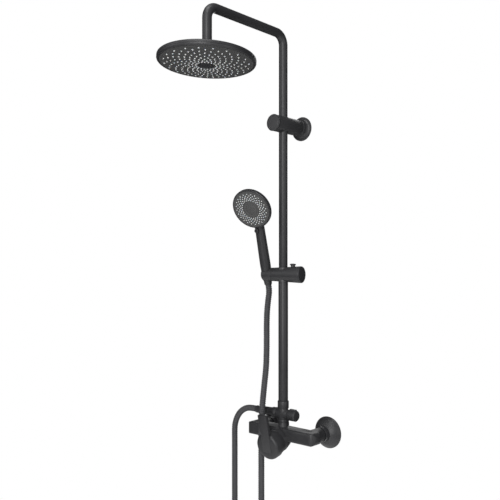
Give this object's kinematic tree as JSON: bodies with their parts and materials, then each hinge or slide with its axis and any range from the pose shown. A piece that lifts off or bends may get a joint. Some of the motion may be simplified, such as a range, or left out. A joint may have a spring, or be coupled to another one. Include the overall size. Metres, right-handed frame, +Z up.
{
  "type": "rainfall shower column",
  "caption": "Matte black wall-mounted shower column: bar mixer with lever, diverter, riser with arm, ball-jointed rain head, sliding and tilting holder, hand shower and hose.",
  "frame": {"origin": "on the wall face, midway between the two inlets", "axes": "X along the wall to the user's right, -Y into the room, +Z up"},
  "size_m": [0.2701, 0.4304, 1.4292],
  "materials": {
    "black_metal": "matte black paint on metal",
    "black_plastic": "matte black plastic",
    "spray_plate": "fine-grained black plastic",
    "light_silicone": "pale grey silicone",
    "seal_rubber": "black seal rubber",
    "nylon": "black nylon",
    "pale_plastic": "pale engineering plastic",
    "brass": "turned brass",
    "steel": "bare steel",
    "hose_cover": "black spiral hose cover"
  },
  "bodies": {
    "column": {"mixer_body": "black_metal", "inlet_union_left": "brass", "inlet_union_right": "brass", "inlet_nut_left": "black_metal", "inlet_nut_right": "black_metal", "inlet_washer_left": "seal_rubber", "inlet_washer_right": "seal_rubber", "inlet_rose_left": "black_metal", "inlet_rose_right": "black_metal", "cartridge": "pale_plastic", "cartridge_nut": "brass", "cartridge_shroud": "black_metal", "diverter_body": "black_metal", "diverter_lower_nut": "black_metal", "diverter_upper_nut": "black_metal", "diverter_seal": "seal_rubber", "lower_tube": "black_metal", "tube_coupling": "brass", "coupling_seals": "seal_rubber", "upper_tube": "black_metal", "bracket_rose": "black_metal", "bracket_anchor": "steel", "bracket_barrel": "black_metal", "bracket_sleeve": "nylon", "bracket_cap": "black_metal", "bracket_grub_screw": "steel", "swivel_nut": "black_metal", "hose_low_nut": "black_metal", "hose_low_washer": "seal_rubber", "hose": "hose_cover"},
    "rotor": {"cartridge_rotor": "pale_plastic", "stem_pin": "steel"},
    "lever": {"cartridge_stem": "brass", "mixer_lever": "black_metal", "lever_set_screw": "steel"},
    "diverter_control": {"diverter_spindle": "brass", "diverter_knob": "black_metal"},
    "ball_cup": {"ball_seat": "pale_plastic"},
    "rain_head": {"swivel_ball": "brass", "head_shell": "black_metal", "head_nozzle_mat": "light_silicone", "head_face": "spray_plate", "head_disc": "black_metal"},
    "slide_bush": {"slider_bush": "nylon"},
    "slider": {"slider_barrel": "black_metal", "slider_cap": "black_metal", "slider_spring": "steel", "holder_axle": "steel"},
    "button": {"slider_button": "black_metal"},
    "holder": {"holder": "black_metal"},
    "hand_shower": {"hand_shell": "black_plastic", "hand_nozzle_mat": "light_silicone", "hand_face": "spray_plate", "hand_disc": "black_plastic", "hand_nipple": "brass", "hose_top_nut": "black_metal", "hose_top_washer": "seal_rubber"},
    "spray_selector": {"hand_selector": "black_plastic"}
  },
  "joints": [
    {"name": "lever_temp", "type": "hinge", "parent": "column", "child": "rotor", "pos_m": [0, -0.071, -0.009], "axis": [0, -0.9744, -0.225], "range_deg": [-45, 45]},
    {"name": "lever_flow", "type": "hinge", "parent": "rotor", "child": "lever", "pos_m": [0, -0.1051, -0.01687], "axis": [1, 0, 0], "range_deg": [0, 16]},
    {"name": "diverter_turn", "type": "hinge", "parent": "column", "child": "diverter_control", "pos_m": [0.025, -0.071, 0.0425], "axis": [1, 0, 0], "range_deg": [-90, 90]},
    {"name": "head_tilt", "type": "hinge", "parent": "column", "child": "ball_cup", "pos_m": [0, -0.314, 0.817], "axis": [-1, 0, 0], "range_deg": [-14, 12]},
    {"name": "head_roll", "type": "hinge", "parent": "ball_cup", "child": "rain_head", "pos_m": [0, -0.314, 0.817], "axis": [0, 1, 0], "range_deg": [-10, 10]},
    {"name": "slider_slide", "type": "slide", "parent": "column", "child": "slide_bush", "axis": [0, 0, 1], "range_m": [-0.25, 0], "deforming": ["hose"]},
    {"name": "slider_swivel", "type": "hinge", "parent": "slide_bush", "child": "slider", "pos_m": [0, -0.071, 0.361], "axis": [0, 0, 1], "range_deg": [-59, 31]},
    {"name": "slider_button", "type": "slide", "parent": "slider", "child": "button", "axis": [0, 0, -1], "range_m": [0, 0.002], "stiffness_N_per_m": 600, "springref_m": -0.0015, "deforming": ["slider_spring"]},
    {"name": "holder_tilt", "type": "hinge", "parent": "slider", "child": "holder", "pos_m": [0, -0.071, 0.361], "axis": [0.9816, 0.1908, 0], "range_deg": [-13, 27]},
    {"name": "handset_lift", "type": "slide", "parent": "holder", "child": "hand_shower", "axis": [0.0558, -0.287, 0.9563], "range_m": [0, 0.04]},
    {"name": "selector_push", "type": "slide", "parent": "hand_shower", "child": "spray_selector", "axis": [-0.1825, 0.9387, 0.2924], "range_m": [0, 0.002], "stiffness_N_per_m": 500, "springref_m": -0.0015}
  ]
}
